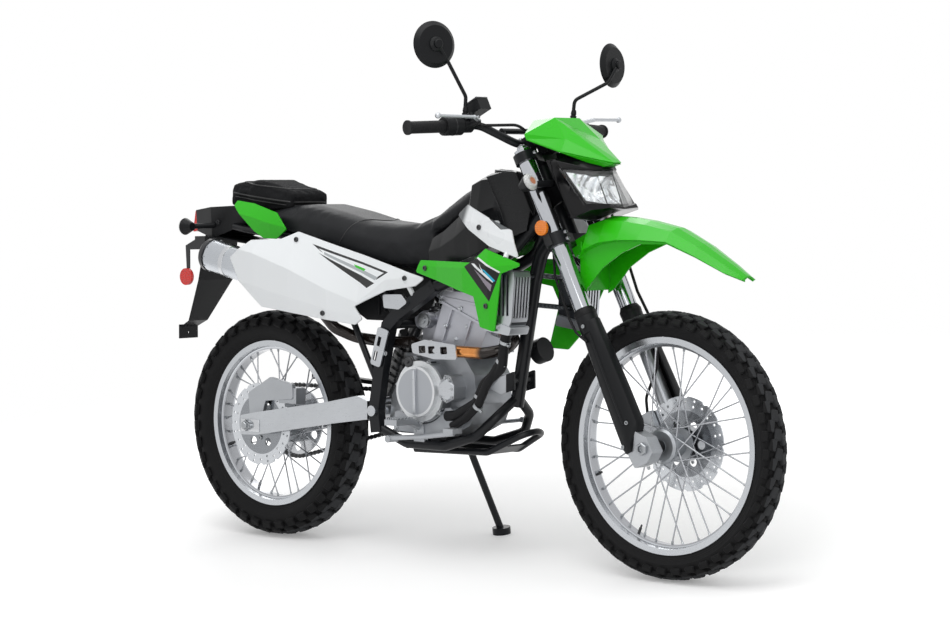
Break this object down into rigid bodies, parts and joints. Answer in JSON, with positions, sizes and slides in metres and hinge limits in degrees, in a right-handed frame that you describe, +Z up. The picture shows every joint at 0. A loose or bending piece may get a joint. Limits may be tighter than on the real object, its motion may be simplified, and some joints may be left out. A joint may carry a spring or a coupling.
{
  "type": "dual sport motorcycle",
  "caption": "Dual sport motorcycle with knobby tyres, long inverted fork, high front fender, bench seat and tail bag, leaning on its side stand.",
  "frame": {"origin": "middle of the whole machine's box, on the ground it stands on", "axes": "+X forward, +Y to the machine's left, +Z up; the machine leans 8 degrees to +Y onto its side stand"},
  "size_m": [2.17, 0.8258, 1.4906],
  "materials": {
    "alloy": "satin",
    "amber_lens": "gloss",
    "bag_cloth": "woven",
    "black_gloss": "gloss",
    "black_paint": "satin",
    "black_plastic": "matt",
    "chrome": "polished",
    "clear_lens": "clear",
    "engine_alloy": "cast",
    "gold_steel": "polished",
    "green_plastic": "gloss",
    "mirror": "mirror",
    "red_lens": "gloss",
    "rubber": "matt",
    "seat_cover": "grained",
    "steel": "satin",
    "tyre": "matt",
    "white_plastic": "gloss"
  },
  "bodies": {
    "chassis": {"frame": "black_paint", "swingarm": "alloy", "rear_axle": "steel", "rear_shock": "steel", "engine": "engine_alloy", "exhaust_pipe": "gold_steel", "bright_shields": "steel", "muffler": "steel", "radiators": "alloy", "coolant_hoses": "rubber", "fuel_tank": "black_gloss", "seat": "seat_cover", "side_panels": "white_plastic", "tail_covers": "green_plastic", "shrouds": "green_plastic", "upper_panels": "white_plastic", "rear_fender": "black_plastic", "tail_lamp": "red_lens", "plate_bracket": "black_paint", "rear_signals": "black_plastic", "rear_signal_lenses": "clear_lens", "side_reflector": "red_lens", "airbox": "black_plastic", "tool_bag": "bag_cloth", "engine_guard": "black_paint", "foot_controls": "steel", "rear_caliper": "alloy", "horn": "black_plastic", "coolant_bottle": "white_plastic", "chain": "steel", "chain_guides": "black_plastic"},
    "steering": {"triple_clamps": "black_paint", "fork_tubes": "chrome", "fork_sliders": "alloy", "fork_guards": "black_plastic", "front_axle": "steel", "handlebar": "black_paint", "grips": "rubber", "hand_controls": "black_plastic", "mirrors": "black_plastic", "mirror_glass": "mirror", "front_fender": "green_plastic", "headlight_shell": "black_plastic", "headlight_reflector": "chrome", "headlight_lens": "clear_lens", "front_mask": "green_plastic", "front_signals": "black_plastic", "front_signal_lenses": "clear_lens", "fork_reflectors": "amber_lens", "front_hoses": "rubber", "instrument": "black_plastic", "front_caliper": "alloy"},
    "front_wheel": {"front_wheel": "alloy", "front_tyre": "tyre", "front_disc": "steel"},
    "rear_wheel": {"rear_wheel": "alloy", "rear_tyre": "tyre", "rear_disc": "steel", "rear_sprocket": "steel"},
    "side_stand": {"side_stand": "black_paint"}
  },
  "joints": [
    {"name": "steering", "type": "hinge", "parent": "chassis", "child": "steering", "pos_m": [0.39816, -0.04146, 0.87726], "axis": [-0.4462, 0.1246, 0.8862], "range_deg": [-45, 45]},
    {"name": "front_wheel_spin", "type": "hinge", "parent": "steering", "child": "front_wheel", "pos_m": [0.734, -0.11566, 0.34925], "axis": [0, 0.9903, -0.1392], "continuous": true},
    {"name": "rear_wheel_spin", "type": "hinge", "parent": "chassis", "child": "rear_wheel", "pos_m": [-0.696, -0.11872, 0.32747], "axis": [0, 0.9903, -0.1392], "continuous": true},
    {"name": "side_stand_hinge", "type": "hinge", "parent": "chassis", "child": "side_stand", "pos_m": [-0.09, 0.00947, 0.29834], "axis": [0, 0.9843, 0.1768], "range_deg": [0, 92]}
  ]
}
